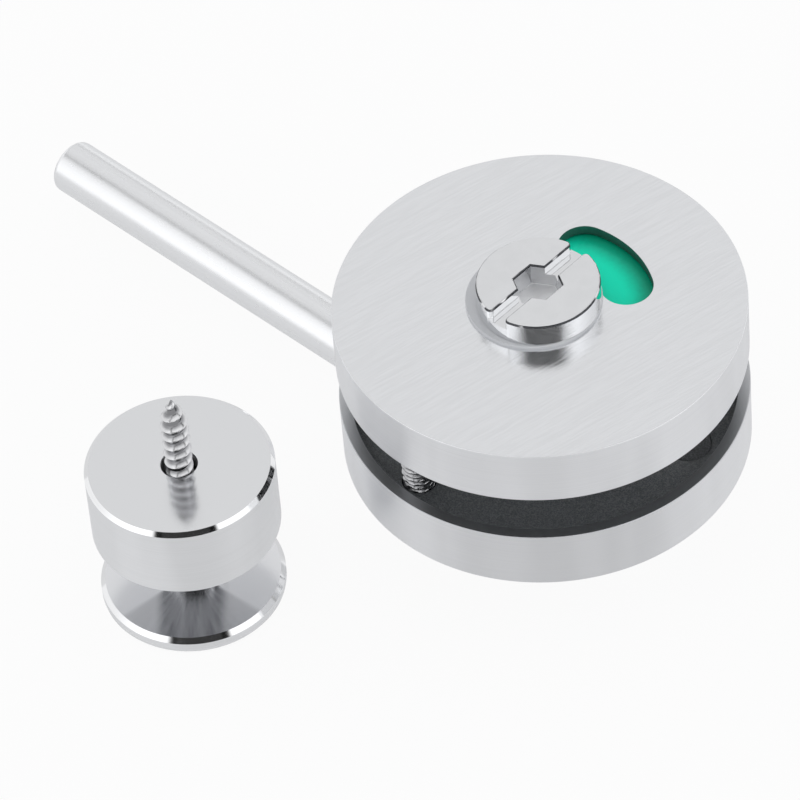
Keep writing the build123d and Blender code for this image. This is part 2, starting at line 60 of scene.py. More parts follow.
# %% [markdown]
# ## Measures read from the frame
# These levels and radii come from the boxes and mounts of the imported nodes, so the finer meshes sit
# where the solids are. Sizes that a box does not show are typed in the cell that uses them. They
# follow the CAD source, but the threads and the screws' hidden shanks are a little thinner than its
# plain cylinders. All are in millimetres and become metres when a mesh is written.

# %% Measures
def box_mm(node):
    """Lowest and highest corner of a node, in millimetres."""
    low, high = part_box(node)
    return [value / MM for value in low], [value / MM for value in high]


def levels(node):
    """Lowest and highest level of a node, in millimetres."""
    low, high = box_mm(node)
    return low[2], high[2]


def centre_and_radius(node):
    """Centre in plan and outer radius of a turned node, in millimetres."""
    low, high = box_mm(node)
    return ((low[0] + high[0]) / 2, (low[1] + high[1]) / 2), (high[0] - low[0]) / 2


outer_rim, outer_top = levels("outer_cover")
inner_face, inner_rim = levels("inner_cover")
plate_under = levels("outer_carrier")[1]
inner_seat, carrier_high = levels("inner_carrier")
rosette_radius = centre_and_radius("outer_cover")[1]
carrier_radius = centre_and_radius("outer_carrier")[1]
wall_inside = carrier_radius + 0.1
release_low, release_top = levels("release_turn")
head_radius = centre_and_radius("release_turn")[1]
washer_low, washer_high = levels("release_washer")
washer_centre, washer_radius = centre_and_radius("release_washer")
floor_level, hub_top = levels("turn_hub")
hub_radius = centre_and_radius("turn_hub")[1]
keep_centre, keep_radius = centre_and_radius("keep_bobbin")
keep_top = levels("keep_bobbin")[1]
screw_low, screw_tip = levels("keep_screw")
rod_axis = mounts["rod_end"]["axis"]
rod_angle = atan2(rod_axis[1], rod_axis[0])
rod_level = mounts["rod_end"]["pos_m"][2] / MM
rod_radius = mounts["rod_end"]["dims"]["r_mm"]
slot_angle = rod_angle - pi / 2
print("rosette", rosette_radius, "top", outer_top, "floor", floor_level, "keep", keep_centre)

# %% [markdown]
# ## Shader maths as plain Python
# A material reads better as an expression than as a chain of nodes. The class below wraps one socket,
# and adding or multiplying two of them adds the Math node that does it. `node` makes any other kind.

# %% A socket that does sums
class Wire:
    """One output socket, with Python's operators for the Math node."""

    def __init__(self, tree, socket):
        self.tree = tree
        self.socket = socket

    def node(self, kind, settings=None, sockets=None, output=0):
        return node(self.tree, kind, settings, sockets, output)

    def maths(self, operation, *values):
        sockets = dict(enumerate((self, *values)))
        return self.node("ShaderNodeMath", {"operation": operation}, sockets)

    def __add__(self, other):
        return self.maths("ADD", other)

    def __sub__(self, other):
        return self.maths("SUBTRACT", other)

    def __mul__(self, other):
        return self.maths("MULTIPLY", other)

    def __truediv__(self, other):
        return self.maths("DIVIDE", other)

    def __rsub__(self, other):
        return self.node("ShaderNodeMath", {"operation": "SUBTRACT"}, {0: other, 1: self})

    __radd__ = __add__
    __rmul__ = __mul__

    def power(self, exponent):
        return self.maths("POWER", exponent)

    def smooth(self, low, high):
        """0 below low, 1 above high, and a smooth rise between them."""
        settings = {"interpolation_type": "SMOOTHSTEP"}
        return self.node("ShaderNodeMapRange", settings, {0: self, 1: low, 2: high})


def node(tree, kind, settings=None, sockets=None, output=0):
    """Adds a node, sets it up, feeds its sockets and returns one of its outputs."""
    made = tree.nodes.new(kind)
    for name, value in (settings or {}).items():
        setattr(made, name, value)
    for name, value in (sockets or {}).items():
        if isinstance(value, Wire):
            tree.links.new(value.socket, made.inputs[name])
        else:
            made.inputs[name].default_value = value
    return Wire(tree, made.outputs[output])


print("Wire wraps a socket")

# %% [markdown]
# ## Helpers for materials
# These short functions make what nearly every finish needs: a mix of two colours, the object's own
# coordinates in millimetres, noise over them, and a bump from a height.

# %% Material helpers
def blend_colours(share, first, second):
    """Mixes two colours by a share from 0 to 1."""
    settings = {"data_type": "RGBA"}
    wires = [value for value in (share, first, second) if isinstance(value, Wire)]
    colours = [value if isinstance(value, Wire) else (*value, 1.0) for value in (first, second)]
    return node(wires[0].tree, "ShaderNodeMix", settings, {0: share, 6: colours[0], 7: colours[1]}, 2)


def mottled(share, base, dim):
    """A base colour, dimmed where a share is low."""
    return blend_colours(share, tuple(c * dim for c in base), base)


def new_material(name):
    """An empty node material with a Principled shader, and its tree."""
    material = bpy.data.materials.new(name)
    material.use_nodes = True
    return material, material.node_tree, material.node_tree.nodes["Principled BSDF"]


def feed(shader, **sockets):
    """Sets or links sockets of a shader by their names, with _ for a space."""
    for name, value in sockets.items():
        socket = shader.inputs[name.replace("_", " ")]
        if isinstance(value, Wire):
            value.tree.links.new(value.socket, socket)
        else:
            socket.default_value = (*value, 1.0) if isinstance(value, tuple) else value


def object_point(tree, turn=0.0, scale=(1.0, 1.0, 1.0), centre=(0.0, 0.0)):
    """The object's own coordinates in millimetres, moved, turned about Z and scaled."""
    point = node(tree, "ShaderNodeTexCoord", output=3)
    moved = node(tree, "ShaderNodeVectorMath", {"operation": "SUBTRACT"},
                 {0: point, 1: (centre[0] * MM, centre[1] * MM, 0.0)})
    turned = node(tree, "ShaderNodeVectorRotate", {"rotation_type": "Z_AXIS"},
                  {"Vector": moved, "Angle": -turn})
    per_mm = tuple(value / MM for value in scale)
    return node(tree, "ShaderNodeVectorMath", {"operation": "MULTIPLY"}, {0: turned, 1: per_mm})


def xyz(point):
    """The three parts of a vector."""
    return [point.node("ShaderNodeSeparateXYZ", None, {0: point}, index) for index in range(3)]


def noise(point, detail=3.0, rough=0.55, scale=1.0):
    """Fractal noise between 0 and 1 over a point."""
    sockets = {"Vector": point, "Scale": scale, "Detail": detail, "Roughness": rough}
    return point.node("ShaderNodeTexNoise", None, sockets)


def bump(height, distance, strength=1.0):
    """A normal from a height between 0 and 1; the distance is in millimetres."""
    sockets = {"Strength": strength, "Distance": distance * MM, "Height": height}
    return height.node("ShaderNodeBump", None, sockets)


print("shader helpers ready")

# %% [markdown]
# ## Brushed and turned aluminium
# The rosettes' faces are brushed straight across, and the walls are turned on a lathe. Both finishes
# are fine scratches, long along the tool's path, made by stretched noise. It moves the roughness and
# the normal a little, and the colour hardly at all, as scratches on metal show in reflections. The
# turned finish also paints shade: its colour is darkened on the side that faces the front.

# %% Brushed face and turned wall
aluminium = (0.905, 0.912, 0.926)
brush_turn, front = radians(31), radians(270)


def brushed_aluminium(name):
    """Straight brushing, seen on the rosettes' flat faces."""
    material, tree, shader = new_material(name)
    long_fine = noise(object_point(tree, brush_turn, (0.20, 3.4, 1.5)), 4.0, 0.7)
    broad = noise(object_point(tree, brush_turn, (0.12, 1.5, 0.5)), 3.0)
    cloud = noise(object_point(tree, 0.4, (0.055, 0.055, 0.055)), 2.0)
    scratch = long_fine * 0.75 + broad * 0.25
    tone = mottled(scratch.smooth(0.36, 0.64), aluminium, 0.95)
    feed(shader, Base_Color=tone, Metallic=1.0,
         Roughness=0.09 + scratch * 0.18 + cloud * 0.05,
         Normal=bump(scratch, 0.030, 0.6))
    return material


def turned_aluminium(name, base, roughness=0.34, centre=(0.0, 0.0), depth=0.006, bands=0.10,
                     shade_half=0.35, painted_shade=0.06):
    """Lathe-turned wall: lines round the axis, soft upright bands, and painted shade on the side facing the
    front.
    """
    material, tree, shader = new_material(name)
    rings = noise(object_point(tree, 0.0, (0.03, 0.03, 7.0), centre), 4.0, 0.65)
    grain = noise(object_point(tree, 0.0, (1.1, 1.1, 1.6), centre), 3.0)
    band = noise(object_point(tree, 0.2, (0.10, 0.10, 0.012), centre), 2.0)
    share = rings.smooth(0.3, 0.7) * 0.35 + band.smooth(0.35, 0.65) * 0.65
    tone = mottled(share, base, 1 - bands)
    # painted shade: the colour darkens towards black on the side that faces the front
    point = object_point(tree, front, centre=centre)
    ahead, across, _ = xyz(point)
    off = across.maths("ABSOLUTE").maths("ARCTAN2", ahead)
    side = 1.0 - off.smooth(shade_half * 0.3, shade_half * 1.7)
    tone = blend_colours(side * painted_shade, tone, (0.0, 0.0, 0.0))
    feed(shader, Base_Color=tone, Metallic=1.0,
         Roughness=roughness - 0.04 + rings * 0.05 + grain * 0.04,
         Normal=bump(rings * 0.7 + grain * 0.3, depth, 0.6))
    return material


cover_face = brushed_aluminium("cover_face_brushed")
cover_wall = turned_aluminium("cover_wall_turned", (0.945, 0.95, 0.965), bands=0.12)
# painted shade: the inner cover's wall is a shaded copy, darkened more strongly at the front
lower_wall_painted_shade = turned_aluminium("lower_wall_turned", (0.965, 0.97, 0.985), bands=0.10, shade_half=0.6, painted_shade=0.19)
print("aluminium", cover_face.name, cover_wall.name)

# %% [markdown]
# ## Faces turned flat on the lathe
# The keep's flat faces were cut from the rim to the middle, so their scratches are rings. The noise
# reads the distance from the axis, so it makes rings. Real rings also draw soft bright and dark fans.
# The fan on the flange is a painted reflection for one view, with a dark lane down its middle where
# the neck is mirrored, because these bumps do not draw it.

# %% Polished turning
def radius_of(point):
    """Distance from the Z axis of a point, in the point's own units."""
    flat = point.node("ShaderNodeVectorMath", {"operation": "MULTIPLY"}, {0: point, 1: (1, 1, 0)})
    return point.node("ShaderNodeVectorMath", {"operation": "LENGTH"}, {0: flat}, 1)


def ringed_metal(name, base, roughness, centre, fine=9.0, depth=0.004):
    """Faced-off metal: fine rings about the axis."""
    material, tree, shader = new_material(name)
    point = object_point(tree, centre=centre)
    reach = radius_of(point) * fine
    along = node(tree, "ShaderNodeCombineXYZ", None, {"X": reach})
    rings = noise(along, 4.0, 0.7)
    haze = noise(object_point(tree, 0.0, (0.3, 0.3, 0.3), centre), 2.0)
    feed(shader, Base_Color=mottled(rings.smooth(0.35, 0.65), base, 0.97),
         Metallic=1.0, Roughness=roughness + rings * 0.05 + haze * 0.03,
         Normal=bump(rings, depth, 0.5))
    return material


def fanned_metal(name, centre, middle, half):
    """Faced-off metal with a painted reflection: a darker fan about a bearing, and a dark lane where the neck
    is mirrored.
    """
    material, tree, shader = new_material(name)
    point = object_point(tree, middle, centre=centre)
    rings = noise(node(tree, "ShaderNodeCombineXYZ", None, {"X": radius_of(point) * 6.0}), 4.0, 0.7)
    ahead, across, _ = xyz(point)
    off = across.maths("ABSOLUTE").maths("ARCTAN2", ahead)
    # painted reflection: a streaked darker fan about the bearing, and a darker lane where the neck is
    # mirrored
    reflected_fan = 1.0 - off.smooth(half - 0.05, half + 0.05)
    spokes = node(tree, "ShaderNodeCombineXYZ", None, {"X": off * 9.0, "Y": radius_of(point) * 0.12})
    streak = noise(spokes, 3.0)
    neck_reflection = reflected_fan * (1.0 - across.maths("ABSOLUTE").smooth(3.8, 5.6))
    shade = reflected_fan * (0.22 + streak * 0.22) + neck_reflection * (0.30 + streak * 0.30)
    feed(shader, Base_Color=blend_colours(shade, (0.88, 0.885, 0.90), (0.16, 0.165, 0.18)), Metallic=1.0,
         Roughness=0.16 + rings * 0.06, Normal=bump(rings, 0.003, 0.5))
    return material


keep_face = ringed_metal("keep_face_turned", (0.87, 0.875, 0.885), 0.10, keep_centre)
keep_flange = fanned_metal("keep_flange_turned", keep_centre, radians(266), radians(50))
keep_shade = ringed_metal("keep_underside_turned", (0.86, 0.865, 0.88), 0.30, keep_centre, 5.0, 0.006)
keep_mirror = ringed_metal("keep_polished", (0.93, 0.932, 0.936), 0.03, keep_centre, 4.0, 0.001)
keep_wall = turned_aluminium("keep_wall_satin", (0.955, 0.96, 0.97), 0.36, keep_centre, 0.002, 0.09)
hub_satin = turned_aluminium("hub_satin", (0.885, 0.89, 0.90), 0.27, depth=0.002)
rim_turned = ringed_metal("rim_turned", (0.62, 0.63, 0.645), 0.30, (0.0, 0.0), 4.0, 0.012)
print("turned finishes", keep_face.name, keep_flange.name, keep_wall.name)

# %% [markdown]
# ## Drawn bar
# Round bar is pulled through a die, which leaves faint lines along its whole length and no rings.
# Noise stretched along the rod draws them, over a satin skin.

# %% Drawn rod
def drawn_rod(name, angle):
    """Drawn bar: long, faint lines that run along the rod, and a smooth skin between them."""
    material, tree, shader = new_material(name)
    lines = noise(object_point(tree, angle, (0.02, 2.2, 2.2)), 4.0, 0.6)
    grain = noise(object_point(tree, angle, (0.5, 2.5, 2.5)), 3.0)
    base = (0.93, 0.935, 0.945)
    feed(shader, Base_Color=mottled(lines.smooth(0.3, 0.7), base, 0.97),
         Metallic=1.0, Roughness=0.225 + lines * 0.05 + grain * 0.07,
         Normal=bump(lines * 0.8 + grain * 0.2, 0.006, 0.5))
    return material


rod_satin = drawn_rod("rod_drawn", rod_angle)
print("rod finish", rod_satin.name)

# %% [markdown]
# ## Chrome
# The release head is plated: a mirror with a little haze. In the photograph its broken edges look
# black along most of their length, and white in a few places. This studio does not draw that by
# itself, so the edges get a painted reflection instead, with both tones in patches.

# %% Chrome and its edges
def chrome(name, base=(0.86, 0.865, 0.875), roughness=0.05):
    """Bright plating with slight haze and soft waves."""
    material, tree, shader = new_material(name)
    haze = noise(object_point(tree, 0.3, (0.45, 0.45, 0.45)), 4.0)
    wave = noise(object_point(tree, 0.0, (0.16, 0.16, 0.16)), 1.0)
    feed(shader, Base_Color=mottled(haze.smooth(0.3, 0.7), base, 0.97),
         Metallic=1.0, Roughness=roughness + haze * 0.05,
         Normal=bump(wave, 0.03, 0.35))
    return material


def painted_edge_reflection(name):
    """The middle of a polished edge: a painted reflection, black in patches for the dark side of the room,
    else bright.
    """
    material, tree, shader = new_material(name)
    reflection_patch = noise(object_point(tree, 0.9, (0.30, 0.30, 0.30)), 2.0)
    feed(shader, Base_Color=blend_colours(reflection_patch.smooth(0.54, 0.62), (0.07, 0.072, 0.078), (0.80, 0.80, 0.81)),
         Metallic=1.0, Roughness=0.10 + reflection_patch * 0.05, Normal=bump(reflection_patch, 0.01, 0.3))
    return material


release_chrome = chrome("release_chrome")
# rougher plating in the socket, with painted shade: its walls take a darker copy of the chrome
socket_wall_shaded = chrome("socket_wall_shaded", (0.66, 0.665, 0.68), 0.16)
# painted light: the socket's floor takes a brighter, rougher copy of the chrome
socket_floor_lit = chrome("socket_floor_lit", (0.96, 0.965, 0.97), 0.45)
edge_painted_reflection = painted_edge_reflection("release_edge_shade")
print("chrome", release_chrome.name, edge_painted_reflection.name)

# %% [markdown]
# ## Plated steel and black castings
# Screws, pin, spindle and rings are zinc-plated or spring steel, with a faint mottle. The carriers
# inside the rosettes are black castings. Their skin is a fine sandy grain that catches small lights,
# which two noises and a cell pattern make together.

# %% Steel and casting
def plated_steel(name, base, roughness):
    """Zinc-plated screws and the square bar, with faint mottling."""
    material, tree, shader = new_material(name)
    mottle = noise(object_point(tree, 0.0, (0.9, 0.9, 0.9)), 4.0, 0.6)
    feed(shader, Base_Color=mottled(mottle.smooth(0.3, 0.7), base, 0.92),
         Metallic=1.0, Roughness=roughness + mottle * 0.10,
         Normal=bump(mottle, 0.003, 0.3))
    return material


def black_casting(name, dark=(0.120, 0.128, 0.136), light=(0.265, 0.280, 0.294)):
    """Black painted casting with a fine, sparkling grain."""
    material, tree, shader = new_material(name)
    grain = noise(object_point(tree, 0.0, (5.2, 5.2, 5.2)), 4.0, 0.65)
    lumps = noise(object_point(tree, 0.7, (0.45, 0.45, 0.45)), 3.0)
    pits = node(tree, "ShaderNodeTexVoronoi", {"feature": "F1"},
                {"Vector": object_point(tree, 0.2, (1.6, 1.6, 1.6)), "Scale": 1.0})
    tone = blend_colours(grain.smooth(0.40, 0.66), dark, light)
    feed(shader, Base_Color=tone, Roughness=0.30 + grain * 0.3, Specular_IOR_Level=0.8,
         Normal=bump(grain * 0.5 + lumps * 0.3 + pits * 0.2, 0.20, 0.9))
    return material


screw_plate = plated_steel("screw_plated", (0.52, 0.52, 0.53), 0.04)
spring_steel = plated_steel("spring_steel", (0.33, 0.33, 0.345), 0.26)
# painted shade: the window's cut wall and the bores get a dark grey colour for the shade inside them
window_wall_shade = plated_steel("window_wall", (0.24, 0.245, 0.25), 0.36)
casting = black_casting("carrier_casting")
plug_black = black_casting("plug_black", (0.065, 0.069, 0.074), (0.16, 0.168, 0.178))
print("steel and casting", screw_plate.name, casting.name)

# %% [markdown]
# ## Plastics and print
# The dial's colours are printed fields, and the bushes and washers are moulded plastic. In the
# photograph the green is shaded under the outer wall of the window, so the fields carry a painted
# shadow there. That wall is round the same axis as the dial, so the painted shadow darkens with the
# radius and stays right when the dial turns.

# %% Plastics and printed fields
def printed_field(name, base, shadow_colour):
    """Colour printed on the dial, with a painted shadow that darkens it under the outer wall of the window.
    """
    material, tree, shader = new_material(name)
    point = object_point(tree)
    grain = noise(point, 4.0, scale=1.4)
    # painted shadow of the window's outer wall, darker with the radius
    wall_shadow = (radius_of(point) + grain * 0.8).smooth(12.9, 17.3)
    feed(shader, Base_Color=blend_colours(wall_shadow, base, shadow_colour), Roughness=0.20 + grain * 0.08,
         Specular_IOR_Level=0.2,
         Normal=bump(grain, 0.01, 0.5))
    return material


def plastic(name, base, dark, roughness):
    """Moulded or printed plastic with a soft mottle."""
    material, tree, shader = new_material(name)
    grain = noise(object_point(tree, 0.0, (1.2, 1.2, 1.2)), 4.0)
    cloud = noise(object_point(tree, 0.5, (0.12, 0.12, 0.12)), 2.0)
    feed(shader, Base_Color=blend_colours(cloud.smooth(0.25, 0.75), dark, base),
         Roughness=roughness + grain * 0.08, Normal=bump(grain, 0.01, 0.5))
    return material


nylon = plastic("bush_nylon", (0.80, 0.79, 0.75), (0.72, 0.71, 0.67), 0.42)
washer_grey = plastic("washer_grey", (0.60, 0.61, 0.63), (0.54, 0.55, 0.57), 0.14)
dial_white = plastic("dial_white", (0.80, 0.80, 0.79), (0.74, 0.74, 0.73), 0.5)
green_print = printed_field("field_green_print", (0.001, 0.92, 0.59), (0.001, 0.34, 0.19))
red_print = printed_field("field_red_print", (0.66, 0.01, 0.02), (0.30, 0.004, 0.008))
print("finishes", len(bpy.data.materials))

# %% [markdown]
# ## Turned pieces from an outline
# Covers, hub, rod and keep are all turned, so each is an outline swept round an axis. The outline
# is a list of corners: radius, level and how round the corner is. A corner becomes a short arc, and
# that arc gives the thin bright line that every real edge shows. Each span of the outline carries
# the number of its material. An open end starts a little inside its edge, and a flat cap closes it.

# %% Outline, sweep and piece
ROUND_STEPS = 4
TURN_STEPS = 288


def rounded(corners, closed):
    """Corners (radius, level, rounding, slot of the next span) as points with their slots."""
    points = []
    for index, (radius, level, rounding, slot) in enumerate(corners):
        here = Vector((radius, level))
        at_end = not closed and index in (0, len(corners) - 1)
        if not rounding or at_end:
            points.append((here, slot))
            continue
        before, after = corners[index - 1], corners[(index + 1) % len(corners)]
        back = (Vector(before[:2]) - here).normalized()
        ahead = (Vector(after[:2]) - here).normalized()
        half = back.angle(ahead) / 2
        centre = here + (back + ahead).normalized() * (rounding / sin(half))
        start = here + back * (rounding / sin(half) * cos(half)) - centre
        turn = start.angle_signed(here + ahead * (rounding / sin(half) * cos(half)) - centre)
        for step in range(ROUND_STEPS + 1):
            spoke = start.copy()
            spoke.rotate(Matrix.Rotation(-turn * step / ROUND_STEPS, 2))
            points.append((centre + spoke, slot))
    return points


def sweep(corners, centre=(0.0, 0.0), closed=False, steps=TURN_STEPS):
    """Mesh of an outline swept round a vertical axis, in metres. Open ends get flat caps."""
    points = rounded(corners, closed)
    mesh = bmesh.new()
    rings = []
    for (radius, level), _ in points:
        ring = [mesh.verts.new(((centre[0] + radius * cos(tau * k / steps)) * MM,
                                (centre[1] + radius * sin(tau * k / steps)) * MM, level * MM))
                for k in range(steps)]
        rings.append(ring)
    spans = range(len(points) if closed else len(points) - 1)
    for index in spans:
        first, second = rings[index], rings[(index + 1) % len(rings)]
        for k in range(steps):
            after = (k + 1) % steps
            face = mesh.faces.new((first[k], first[after], second[after], second[k]))
            face.material_index = points[index][1]
    if not closed:
        for ring, slot in ((rings[0], points[0][1]), (rings[-1], points[-1][1])):
            mesh.faces.new(ring).material_index = slot
    bmesh.ops.recalc_face_normals(mesh, faces=mesh.faces)
    return mesh


print("turning helpers ready")

# %% [markdown]
# ## From a mesh to a named piece
# Each finished mesh becomes one object at the origin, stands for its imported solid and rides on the
# body that moves it. A weighted-normal modifier is applied, so that flat faces lead the shading.

# %% Piece and join
def piece(name, mesh, materials, body, *nodes, slot=None, sharp=32):
    """Writes a mesh as a named piece that rides on a body and stands for its nodes."""
    data = bpy.data.meshes.new(name)
    mesh.to_mesh(data)
    mesh.free()
    for material in materials:
        data.materials.append(material)
    data.shade_smooth()
    data.set_sharp_from_angle(angle=radians(sharp))
    made = bpy.data.objects.new(name, data)
    bpy.context.scene.collection.objects.link(made)
    flat_faces_lead = made.modifiers.new("flat_faces_lead", "WEIGHTED_NORMAL")
    flat_faces_lead.keep_sharp = True
    evaluated = made.evaluated_get(bpy.context.evaluated_depsgraph_get())
    made.data = bpy.data.meshes.new_from_object(evaluated)
    made.modifiers.clear()
    bpy.data.meshes.remove(data)
    data = made.data
    if nodes:
        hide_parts(*nodes)
    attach(made, body)
    print(name, "faces", len(data.polygons))
    return made


def join_meshes(*meshes):
    """One bmesh from several."""
    whole = bmesh.new()
    for mesh in meshes:
        data = bpy.data.meshes.new("part_of_piece")
        mesh.to_mesh(data)
        mesh.free()
        whole.from_mesh(data)
        bpy.data.meshes.remove(data)
    return whole


print("piece helpers ready")

# %% [markdown]
# ## Cutting windows and slots
# The kidney window, the coin slot and the key socket are cuts through a turned body. A Boolean
# modifier makes each cut and is applied at once.

# %% Prisms and cuts
def prism(outline, low, high, turn=0.0, centre=(0.0, 0.0), soften=0.0):
    """Closed prism over a plan outline in millimetres, turned about the axis; its foot can be rounded."""
    mesh = bmesh.new()
    floors = []
    for level in (low, high):
        ring = []
        for x, y in outline:
            across = x * cos(turn) - y * sin(turn) + centre[0]
            along = x * sin(turn) + y * cos(turn) + centre[1]
            ring.append(mesh.verts.new((across * MM, along * MM, level * MM)))
        floors.append(ring)
    foot = mesh.faces.new(floors[0])
    mesh.faces.new(floors[1])
    for k in range(len(outline)):
        after = (k + 1) % len(outline)
        mesh.faces.new((floors[0][k], floors[0][after], floors[1][after], floors[1][k]))
    bmesh.ops.recalc_face_normals(mesh, faces=mesh.faces)
    if soften:
        bmesh.ops.bevel(mesh, geom=list(foot.edges), offset=soften * MM, segments=2, profile=0.5,
                        affect="EDGES", clamp_overlap=False, material=-1)
    return mesh


def temporary(mesh, materials=()):
    """A scratch object for a modifier to use."""
    data = bpy.data.meshes.new("cutter")
    mesh.to_mesh(data)
    mesh.free()
    for material in materials:
        data.materials.append(material)
    made = bpy.data.objects.new("cutter", data)
    bpy.context.scene.collection.objects.link(made)
    return made


def cut(mesh, cutters, materials):
    """Cuts prisms out of a mesh; returns the result as a bmesh, and its materials."""
    body = temporary(mesh, materials)
    tools = []
    for cutter, material in cutters:
        tool = temporary(cutter, [material])
        tools.append(tool)
        step = body.modifiers.new("cut", "BOOLEAN")
        step.operation = "DIFFERENCE"
        step.solver = "EXACT"
        step.material_mode = "TRANSFER"
        step.object = tool
    evaluated = body.evaluated_get(bpy.context.evaluated_depsgraph_get())
    data = bpy.data.meshes.new_from_object(evaluated)
    result = bmesh.new()
    result.from_mesh(data)
    used = list(data.materials)
    for made in (body, *tools):
        bpy.data.objects.remove(made)
    return result, used


print("prism, cut and scratch objects ready")

# %% [markdown]
# ## Broken edges and curved outlines
# A bevel rounds the sharp upper edges of a cut piece, and gives the middle of each rounding a slot of
# its own. The window's outline is a slot that follows an arc.

# %% Bevel and outlines
def break_edges(mesh, width, steps, low, painted_reflection_slot, sharpest=35):
    """Rounds the sharp outer edges above a level; the middle of each rounding gets its own slot."""
    bmesh.ops.remove_doubles(mesh, verts=mesh.verts, dist=0.02 * MM)
    chosen = []
    for edge in mesh.edges:
        if len(edge.link_faces) != 2 or min(corner.co.z for corner in edge.verts) < low * MM:
            continue
        if edge.calc_face_angle(0.0) > radians(sharpest) and edge.is_convex:
            chosen.append(edge)
    rounded_off = bmesh.ops.bevel(mesh, geom=chosen, offset=width * MM, segments=steps, profile=0.5,
                                  affect="EDGES", clamp_overlap=False, material=-1)
    # the middle of each rounding takes the slot of the painted edge reflection
    for face in rounded_off["faces"]:
        if 0.25 < face.normal.z < 0.9:
            face.material_index = painted_reflection_slot
    print("edges rounded", len(chosen), "to", width, "mm")
    return mesh


def polar(radius, angle):
    """Point in plan at a radius and an angle in radians."""
    return (radius * cos(angle), radius * sin(angle))


def kidney(middle, width, start, end, steps=40):
    """Outline of a slot that follows an arc, with round ends."""
    half = width / 2
    outline = [polar(middle + half, start + (end - start) * k / steps) for k in range(steps + 1)]
    for tip, lead in ((end, 0.0), (start, pi)):
        centre = Vector(polar(middle, tip))
        for k in range(1, 18):
            spoke = polar(half, tip + lead + pi * k / 18)
            outline.append((centre.x + spoke[0], centre.y + spoke[1]))
        if lead == 0.0:
            outline += [polar(middle - half, end + (start - end) * k / steps) for k in range(steps + 1)]
    return outline


print("cutting helpers ready")

# %% [markdown]
# ## The outer cover
# This is a deep aluminium cap. Its face is brushed, its wall is turned, and the rim that would lie
# on the door is a plain turned ring. The window is a kidney slot at a radius of 12.9 mm. Its wall
# is painted dark grey for the shade inside it, and stays rougher than the face, so it picks up the
# green of the dial below it.

# %% Outer cover
WINDOW_MIDDLE, WINDOW_WIDTH = 12.9, 7.8
WINDOW_START, WINDOW_END = radians(8.2), radians(55.1)
BORE_PLAY = 0.3
OVERCUT = 1.0     # how far a cutter stands out past the metal
stem_radius = 6.0
cover_materials = [cover_face, cover_wall, rim_turned, casting, window_wall_shade]
lower_materials = [cover_face, lower_wall_painted_shade, rim_turned, casting, window_wall_shade]
FACE, WALL, RIM, INSIDE, CUT = range(len(cover_materials))
outer_corners = [
    (stem_radius + BORE_PLAY, outer_top, 0.0, FACE),
    (rosette_radius, outer_top, 0.09, WALL),
    (rosette_radius, outer_rim, 0.12, RIM),
    (wall_inside, outer_rim, 0.10, INSIDE),
    (wall_inside, plate_under, 0.0, INSIDE),
    (stem_radius + BORE_PLAY, plate_under, 0.0, CUT),
]
window_outline = kidney(WINDOW_MIDDLE, WINDOW_WIDTH, WINDOW_START, WINDOW_END)
window = prism(window_outline, plate_under - OVERCUT, outer_top + OVERCUT)
outer_mesh, outer_used = cut(sweep(outer_corners, closed=True), [(window, window_wall_shade)], cover_materials)
piece("outer_cover_dressed", outer_mesh, outer_used, FIXED, "outer_cover", slot="cover_aluminium")

# %% [markdown]
# ## The inner cover
# The inside rosette is the same cap turned over, with its face below and its rim above. It has no
# window, only the bore for the hub's stem. Its wall has painted shade at the front, where it lies in
# the shade of the rosette above, so it takes a shaded copy of the wall finish.

# %% Inner cover
hub_stem_radius = 7.0
inner_corners = [
    (hub_stem_radius + BORE_PLAY, inner_face, 0.0, FACE),
    (rosette_radius, inner_face, 0.22, WALL),
    (rosette_radius, inner_rim, 0.12, RIM),
    (wall_inside, inner_rim, 0.10, INSIDE),
    (wall_inside, inner_seat, 0.0, INSIDE),
    (hub_stem_radius + BORE_PLAY, inner_seat, 0.0, CUT),
]
piece("inner_cover_dressed", sweep(inner_corners, closed=True), lower_materials, FIXED, "inner_cover",
      slot="cover_aluminium")

# %% [markdown]
# ## The release turn
# The chromed head is what a hand or a coin meets. A coin slot crosses a hexagonal socket. In chrome
# the edges draw the picture, so the upper ones get a bevel of visible width.

# %% Release turn
HEAD_HEIGHT, SLOT_WIDTH, SLOT_DEPTH, SOCKET_FLATS, SOCKET_DEPTH = 3.8, 2.5, 1.6, 6.15, 3.7
MOUTH_ROUNDING, SLOT_FOOT, SOCKET_FOOT, EDGE_WIDTH = 0.7, 0.14, 0.2, 0.36
EDGES_ABOVE_FLOOR = 0.16    # edges lower than this over the slot's floor stay sharp
head_low = release_top - HEAD_HEIGHT


def slot_outline(radius, width, mouth):
    """Coin slot across a round head, with its mouths rounded towards the rim."""
    half = width / 2
    middle = ((radius - mouth) ** 2 - (half + mouth) ** 2) ** 0.5
    lean = atan2(half + mouth, middle)
    quarter = [(middle + mouth * sin(turn), half + mouth - mouth * cos(turn))
               for turn in ((pi / 2 + lean) * step / 6 for step in range(7))]
    quarter.append((radius + 1.5, half + mouth))
    upper = [(-x, y) for x, y in reversed(quarter)] + quarter
    return upper + [(-x, -y) for x, y in upper]


def hexagon(flats):
    """Corners of a centred hexagon with two flats parallel to X."""
    reach = flats / 2 / cos(pi / 6)
    return [polar(reach, pi / 3 * k) for k in range(6)]


